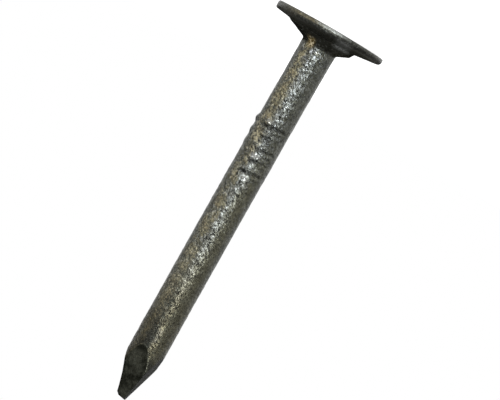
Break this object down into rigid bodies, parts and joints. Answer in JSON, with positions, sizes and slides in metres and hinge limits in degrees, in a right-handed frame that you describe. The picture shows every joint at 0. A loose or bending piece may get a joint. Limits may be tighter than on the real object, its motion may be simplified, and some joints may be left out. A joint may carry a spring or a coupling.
{
  "type": "clout nail",
  "caption": "Galvanised clout nail: a round steel nail with an extra large flat head, grip grooves on the shank and a diamond point.",
  "frame": {"origin": "on the shank's axis, on the flat struck face of the head", "axes": "+Z along the shank from the head to the point; the grip grooves face -Y and +Y, and the long web under the head is on +X"},
  "size_m": [0.01, 0.01, 0.0354],
  "materials": {
    "galvanised_steel": "hot-dip galvanised, dull mottled dark zinc with brown staining"
  },
  "bodies": {
    "root": {"nail": "galvanised_steel"}
  },
  "joints": []
}
